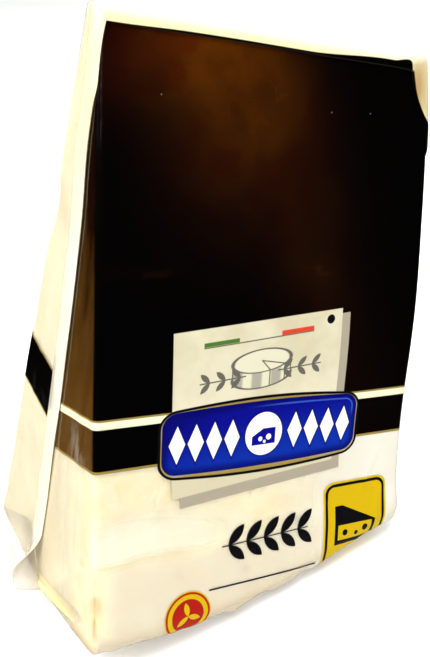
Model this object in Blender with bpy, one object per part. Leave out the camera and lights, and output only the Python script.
"""A vacuum-packed wedge of hard grana cheese, standing on its rind with its nose up.

The wedge is a sector of half a wheel, so its layers are worked out in the wheel's own
coordinates: x along the wheel's axis, rho out from that axis and phi round it. The axis lies
level above the wedge, which hangs from it, so the nose is up and the heel (the rind) is down.
Left is the cut at the wheel's mid-plane, right is the wheel's flat face.

Two films are welded together round the wedge: a printed front film and a clear back film.
Their weld is a flange that lies folded forward on the sides and the nose, stands out as a
loose ear at both lower corners and is pressed flat under the heel.
"""

import math

import bmesh
import bpy
import numpy as np

# Sizes are in millimetres and angles in radians until build_node.
METRES = 0.001

# The cut: one sector of a half wheel
LEFT, RIGHT = -57.5, 58.0  # the half wheel's height, 115 mm
HALF_ANGLE = math.radians(12.14)
BACK_SHIFT = 1.2  # the rear cut is this far outside the true sector
WHEEL_RADIUS = 202.0
NOSE_RADIUS, NOSE_SLOPE = 17.0, 0.033  # the trimmed tip, a little lower on the right
HEEL_TURN, HEEL_FALL, HEEL_POWER = -38.0, 0.0161, 1.6  # how the rind falls to the right
BULGE, BULGE_AT, BULGE_REACH = 4.2, 77.0, 53.0  # the right side is a little fuller here
DENT, DENT_AT = 1.2, 79.0  # a chipped place on the rear left edge
DENT_ALONG, DENT_OUT, DENT_IN = 18.0, 9.0, 10.0
EDGE = 2.0  # the radius of every edge under the tight film

# The films and their weld
FILM = 0.5
GAP = 0.3
FLANGE, FLANGE_WIDTH = 0.6, 8.8
HEEL_SEAL_HALF = 4.0  # half the width of the weld pressed flat under the heel
HEEL_SEAL_ENDS = (3.0, 14.0)  # it narrows to nothing between these distances from each side
SEAM_LEAN, SEAM_START = 0.00035, 17.0  # the weld drifts backwards as it goes down
SEAM_KINK, SEAM_KINK_AT, SEAM_KINK_REACH = 1.8, 55.0, 14.0  # backwards, on the left
SEAM_WAVE, SEAM_WAVE_AT, SEAM_WAVE_REACH = -3.8, 38.0, 13.0  # forwards, on the right
MITRE = 15.0  # how far from a top corner the folded flange is drawn towards it
MITRE_SHARES = (0.4, 1.3)  # how much of its width over the front stays at the left and right

# The loose ears of film at the lower corners, where the flange turns to stand out
EAR_RISE = 20.0  # the turn starts this far above the heel's edge
EAR_ENDS = {-1: 0.6, 1: 3.0}  # and ends this far above it, on the left and on the right
EAR_TURN = math.radians(90)
EAR_FORWARD = 15.0  # the root of the flange comes forward as it turns
EAR_LIFT = 2.0  # and its free edge ends this much higher than its root
EAR_BOW = 0.2  # the film behind the flange bows out between its edges
EAR_GAP = 0.9  # between that film and the back of the flange, which it leaves at a slant
EAR_START = 0.1  # that film's first line, down from its peak
CORNER_MARGIN = 4.0  # it ends this far short of the pack's lower rear corner

# How it stands
LEAN = math.radians(15.0)  # the angle at which it balances on the slope of its heel
FLAT_DEPTH = 0.6  # the small flat it has pressed into its heel

# Grid lines
CORNER_STEPS = 2  # for half an edge's rounding
ACROSS, DOWN, AROUND = 9, 11, 3
FLANGE_DOWN = 26
EAR_ROWS, EAR_COLUMNS = 6, 5

# Colours as (red, green, blue), linear, with a roughness
CHEESE_COLOUR = ((0.86, 0.68, 0.36), 0.6)
PRINT_COLOUR = ((0.012, 0.006, 0.003), 0.25)
CLEAR_COLOUR = ((0.9, 0.78, 0.52), 0.3)
WELD_COLOUR = ((0.88, 0.83, 0.68), 0.35)
EAR_COLOUR = ((0.8, 0.78, 0.72), 0.35)


def nose_radius(x):
    """How far the trimmed tip is from the wheel's axis."""
    return NOSE_RADIUS + NOSE_SLOPE * (x - LEFT)


def heel_radius(x):
    """The barrel-shaped rind: full at the mid-plane, falling away by a power of the distance."""
    return WHEEL_RADIUS - HEEL_FALL * np.maximum(x - HEEL_TURN, 0) ** HEEL_POWER


def right_share(x):
    """0 on the left side of the pack, growing evenly to 1 on the right."""
    return (x - LEFT) / (RIGHT - LEFT)


def seam_angle(x, rho):
    """Where the two films meet: a slant that grows with rho, with a soft kink on each side."""
    kink = SEAM_KINK * np.exp(-(((rho - SEAM_KINK_AT) / SEAM_KINK_REACH) ** 2))
    wave = SEAM_WAVE * np.exp(-(((rho - SEAM_WAVE_AT) / SEAM_WAVE_REACH) ** 2))
    share = right_share(x)
    return SEAM_LEAN * (rho - SEAM_START) + (kink * (1 - share) + wave * share) / rho


def back_angle(rho):
    """Where the rear cut lies: just outside the sector's own rear plane."""
    return HALF_ANGLE + BACK_SHIFT / rho


def side_bulge(x, rho):
    """How much fuller than a flat cut the pack is: nothing on the left, most on the right."""
    return BULGE * np.exp(-(((rho - BULGE_AT) / BULGE_REACH) ** 4)) * right_share(x)


def seam_gap(x, rho):
    """Half the opening between the films, which widens under the heel for the flat weld."""
    inset = np.minimum(x - LEFT, RIGHT - x)
    near, far = HEEL_SEAL_ENDS
    along = np.clip((inset - near) / (far - near), 0, 1)
    under = np.clip((rho - heel_radius(x) + EDGE) / EDGE, 0, 1)
    return GAP / 2 + HEEL_SEAL_HALF * under * along * along * (3 - 2 * along)


def skin(x, rho, phi, depth):
    """Points of the layer that lies depth under the pack's surface.

    x, rho and phi give a place on the sharp-edged wedge. Within EDGE of an edge, the place is
    moved onto the rounding: its offset from the rounding's centre keeps its direction and
    takes the length EDGE. The depth is then measured back along that direction.
    """

    def pull(near, far):
        return np.maximum(EDGE - far, 0) - np.maximum(EDGE - near, 0)

    x, rho, phi = np.broadcast_arrays(x, rho, phi)
    offset = np.stack(
        [
            pull(x - LEFT, RIGHT - x),
            pull(rho - nose_radius(x), heel_radius(x) - rho),
            pull((phi + HALF_ANGLE) * rho, (back_angle(rho) - phi) * rho),
        ]
    )
    # Places inside the wedge have no outward direction, and none of them is used.
    outward = offset / np.maximum(np.linalg.norm(offset, axis=0), 1e-9)
    dent = DENT * np.exp(
        -(((x - LEFT) / DENT_ALONG) ** 2)
        - ((rho - DENT_AT) / DENT_OUT) ** 2
        - ((back_angle(rho) - phi) * rho / DENT_IN) ** 2
    )
    moved = outward * (EDGE - depth - dent) - offset
    x = x + moved[0] + side_bulge(x, rho)
    phi = phi + moved[2] / rho
    rho = rho + moved[1]
    # The drop to the level of the heel's edges puts z = 0 near the pack's foot.
    return np.stack([x, rho * np.sin(phi), WHEEL_RADIUS - rho * np.cos(phi)], axis=-1)


def rounding_steps():
    """Distances from a sharp edge that cut the near half of its rounding into equal turns."""
    turns = np.linspace(math.pi / 4, 0, CORNER_STEPS + 1)
    return EDGE * (1 - np.tan(turns))


def lines(low, high, count):
    """Grid lines from low to high, with count even steps between the two roundings."""
    near = rounding_steps()
    middle = np.linspace(0, 1, count + 1)[1:-1]
    low, high = np.asarray(low)[..., None], np.asarray(high)[..., None]
    span = high - low - 2 * EDGE
    return np.concatenate([low + near, low + EDGE + span * middle, high - near[::-1]], axis=-1)


def half_lines(face, seam, count):
    """Grid lines from a front or back face, past its rounding, to the seam."""
    near = rounding_steps()
    sign = np.sign(seam - face)[..., None]
    face, seam = face[..., None], seam[..., None]
    start = face + sign * EDGE
    middle = np.linspace(0, 1, count + 1)[1:]
    return np.concatenate([face + sign * near, start + (seam - start) * middle], axis=-1)


def lattice(side, gap=1):
    """x, rho and phi on the grid of the front (-1) or back (+1) half of the pack.

    With a gap of 0 the two halves meet, as in the cheese, and with 1 the films stay apart.
    """
    x = lines(LEFT, RIGHT, ACROSS)[:, None]
    rho = lines(nose_radius(x[:, 0]), heel_radius(x[:, 0]), DOWN)
    face = back_angle(rho) if side > 0 else np.full_like(rho, -HALF_ANGLE)
    seam = seam_angle(x, rho) * rho + side * gap * seam_gap(x, rho)
    phi = half_lines(face * rho, seam, AROUND) / rho[..., None]
    return x[..., None], rho[..., None], phi


def faces_of(grid):
    """The five outer faces of a grid of points whose last line round is the seam."""
    return [grid[:, :, 0], grid[0], grid[-1], grid[:, 0], grid[:, -1]]


def seam_of(grid):
    """The grid's edge along the seam: down the left, down the right, the nose and the heel."""
    return [grid[0, :, -1], grid[-1, :, -1], grid[:, 0, -1], grid[:, -1, -1]]


def ground_level():
    """The level that presses FLAT_DEPTH off the lowest part of the leaning heel."""
    x = np.linspace(LEFT, RIGHT, 500)
    z = WHEEL_RADIUS - heel_radius(x)
    return (z * math.cos(LEAN) - x * math.sin(LEAN)).min() + FLAT_DEPTH


def stand(points, clearance=0.0):
    """Lean points to the resting angle and press them flat where they would pass the ground."""
    x, y, z = np.moveaxis(points, -1, 0)
    leaned_x = x * math.cos(LEAN) + z * math.sin(LEAN)
    leaned_z = z * math.cos(LEAN) - x * math.sin(LEAN) - ground_level()
    return np.stack([leaned_x, y, np.maximum(leaned_z, clearance)], axis=-1)


def layer(x, rho, phi, depth):
    """The layer that lies depth under the surface of the standing pack."""
    return stand(skin(x, rho, phi, depth), max(depth, 0.0))


def cheese_patches():
    """The wedge itself, under both films, closed where the halves of its grid meet."""
    halves = [layer(*lattice(side, gap=0), FILM + GAP) for side in (-1, 1)]
    return faces_of(halves[0]) + faces_of(halves[1])


def film_patches(side):
    """One film as a closed shell: its outside, its inside and the rim along the seam."""
    outer = layer(*lattice(side), 0.0)
    inner = layer(*lattice(side), FILM)
    rims = [np.stack(pair) for pair in zip(seam_of(outer), seam_of(inner))]
    return faces_of(outer) + faces_of(inner) + rims


def sheet_patches(outer, inner):
    """A sheet as a closed solid: both of its sides and the four rims between them."""
    edges = (np.s_[0], np.s_[-1], np.s_[:, 0], np.s_[:, -1])
    return [outer, inner] + [np.stack([outer[edge], inner[edge]]) for edge in edges]


def turning_flange(side, turned, walk):
    """The flange beside a lower corner, where it turns from lying forward to standing out.

    turned goes from 0, where it starts to turn, to 1 at its end. A point is the root of the
    flange plus walk along a direction that swings from forward to outward. Returns that point
    and the direction that faces away from the pack.
    """
    face = LEFT if side < 0 else RIGHT
    rho = heel_radius(face) - EAR_RISE + turned * (EAR_RISE - EAR_ENDS[side])
    swing = EAR_TURN * turned * turned * (3 - 2 * turned)
    root_y = seam_angle(face, rho) * rho - EAR_FORWARD * turned * turned
    root_x = face + side * (GAP + FLANGE / 2) + side_bulge(face, rho)
    root = np.stack([root_x, root_y, WHEEL_RADIUS - rho], axis=-1)
    lift = EAR_LIFT / FLANGE_WIDTH * turned * turned
    ahead = np.stack([side * np.sin(swing), -np.cos(swing), lift], axis=-1)
    away = np.stack([side * np.cos(swing), np.sin(swing), 0 * swing], axis=-1)
    return root + walk[..., None] * ahead, away


def flange_rows(to_front):
    """How far forward each line of the flange walks, given the distance to the front edge.

    The lines follow the edge's rounding, and those past the flange's width end at its width.
    """
    near = rounding_steps()
    half_way = (to_front - EDGE) / 2
    rows = [0 * half_way, half_way, to_front - near[::-1], to_front + near[1:]]
    end = np.full_like(half_way, FLANGE_WIDTH)
    return np.minimum(np.concatenate(rows + [end], axis=1), FLANGE_WIDTH)


def flange_patches():
    """The folded flange: a strip forward of the seam, up the left, over the nose, down the right.

    Each station walks forward from the seam over the sharp-edged wedge. A station that comes
    to the front face goes on over it, away from the side it came from. Near a top corner it
    also moves away from the other side, so that the strip turns the corner as a mitre.
    """
    x = lines(LEFT, RIGHT, ACROSS)[1:-1]
    sides = [
        lines(nose_radius(face), heel_radius(face) - EAR_RISE, FLANGE_DOWN)[: -CORNER_STEPS]
        for face in (LEFT, RIGHT)
    ]
    station_rho = np.concatenate([sides[0][::-1], nose_radius(x), sides[1]])[:, None]
    station_x = [np.full(len(sides[0]), LEFT), x, np.full(len(sides[1]), RIGHT)]
    station_x = np.concatenate(station_x)[:, None]

    from_left = np.clip(1 - (station_x - LEFT) / MITRE, 0, 1)
    from_right = np.clip(1 - (RIGHT - station_x) / MITRE, 0, 1)
    from_nose = np.clip(1 - (station_rho - nose_radius(station_x)) / MITRE, 0, 1)
    seam = seam_angle(station_x, station_rho)
    to_front = (seam + HALF_ANGLE) * station_rho
    walk = flange_rows(to_front)
    over_front = np.maximum(walk - to_front, 0)
    phi = np.maximum(seam - walk / station_rho, -HALF_ANGLE)
    shares = MITRE_SHARES[0] * from_left - MITRE_SHARES[1] * from_right
    place_x = station_x + over_front * shares
    place_rho = station_rho + over_front * from_nose

    turned = np.linspace(0, 1, EAR_ROWS + 1)[:, None] + 0 * walk[:1]
    left, left_away = turning_flange(-1, turned, walk[:1])
    right, right_away = turning_flange(1, turned, walk[-1:])
    faces = []
    for half in (FLANGE / 2, -FLANGE / 2):
        folded = skin(place_x, place_rho, phi, -GAP - FLANGE / 2 - half)
        ends = (left + left_away * half)[::-1], right + right_away * half
        faces.append(stand(np.concatenate([ends[0], folded, ends[1]])))
    return sheet_patches(*faces)


def heel_weld_patches():
    """The weld pressed flat into the heel, between the edges of the two films."""
    near = HEEL_SEAL_ENDS[0] + EDGE
    x = np.linspace(LEFT + near, RIGHT - near, ACROSS + CORNER_STEPS)[:, None]
    rho = heel_radius(x)
    half = seam_gap(x, rho) - GAP
    phi = seam_angle(x, rho) + half / rho * np.linspace(-1, 1, 3)[None]
    return sheet_patches(layer(x, rho, phi, 0.0), layer(x, rho, phi, FILM))


def ear_patches(side):
    """The clear film drawn out behind the turned flange, like one side of a small tent.

    Its front edge crosses the back of the flange, from the flange's root at the peak to its
    outer corner at the bottom. Its rear edge runs from the peak to the pack's lower corner.
    """
    face = LEFT if side < 0 else RIGHT
    down = np.linspace(EAR_START, 1, EAR_ROWS + 1)
    front, away = turning_flange(side, down, FLANGE_WIDTH * down)
    apart = FLANGE / 2 + EAR_GAP + FILM / 2
    front = front + away * apart
    peak, away = turning_flange(side, np.zeros(1), np.zeros(1))
    peak = peak + away * apart
    half_depth = heel_radius(face) * math.sin(HALF_ANGLE)
    corner_z = WHEEL_RADIUS - heel_radius(face) * math.cos(HALF_ANGLE)
    corner_x = face + side * (EAR_GAP + FILM / 2)
    corner = np.array([corner_x, half_depth - CORNER_MARGIN, corner_z + CORNER_MARGIN])
    rear = peak + down[:, None] * (corner - peak)

    across = np.linspace(0, 1, EAR_COLUMNS + 1)[None, :, None]
    bow = EAR_BOW * down[:, None, None] * np.sin(math.pi * across)
    middle = front[:, None] + across * (rear - front)[:, None] + bow * np.array([side, 0, 0])
    normal = np.cross(np.gradient(middle, axis=0), np.gradient(middle, axis=1))
    normal *= FILM / 2 / np.linalg.norm(normal, axis=-1, keepdims=True)
    return sheet_patches(stand(middle + normal), stand(middle - normal))


def build_node(name, patches, colour):
    """Join a node's patches into one closed mesh, in metres, with its own material."""
    mesh = bpy.data.meshes.new(name)
    work = bmesh.new()
    for patch in patches:
        rows, columns = patch.shape[:2]
        corners = [work.verts.new(point) for point in (patch * METRES).reshape(-1, 3)]
        for row in range(rows - 1):
            for column in range(columns - 1):
                start = row * columns + column
                ring = (start, start + 1, start + columns + 1, start + columns)
                work.faces.new([corners[index] for index in ring])
    bmesh.ops.remove_doubles(work, verts=work.verts, dist=1e-6)
    bmesh.ops.recalc_face_normals(work, faces=work.faces)
    work.to_mesh(mesh)
    work.free()
    mesh.shade_smooth()
    mesh.set_sharp_from_angle(angle=math.radians(40))
    (red, green, blue), roughness = colour
    material = bpy.data.materials.new(name)
    material.use_nodes = True
    shader = material.node_tree.nodes["Principled BSDF"]
    shader.inputs["Base Color"].default_value = (red, green, blue, 1)
    shader.inputs["Roughness"].default_value = roughness
    shader.inputs["Metallic"].default_value = 0
    mesh.materials.append(material)
    bpy.context.collection.objects.link(bpy.data.objects.new(name, mesh))


def main():
    for old in list(bpy.data.objects):
        bpy.data.objects.remove(old)

    nodes = {
        "cheese_wedge": (cheese_patches(), CHEESE_COLOUR),
        "front_film": (film_patches(-1), PRINT_COLOUR),
        "back_film": (film_patches(1), CLEAR_COLOUR),
        "weld_flange": (flange_patches(), WELD_COLOUR),
        "heel_weld": (heel_weld_patches(), WELD_COLOUR),
        "ear_left": (ear_patches(-1), EAR_COLOUR),
        "ear_right": (ear_patches(1), EAR_COLOUR),
    }
    everything = [patch for patches, _ in nodes.values() for patch in patches]
    points = np.concatenate([patch.reshape(-1, 3) for patch in everything])
    middle = (points.min(axis=0) + points.max(axis=0)) / 2
    middle[2] = 0.0
    for name, (patches, colour) in nodes.items():
        build_node(name, [patch - middle for patch in patches], colour)


main()
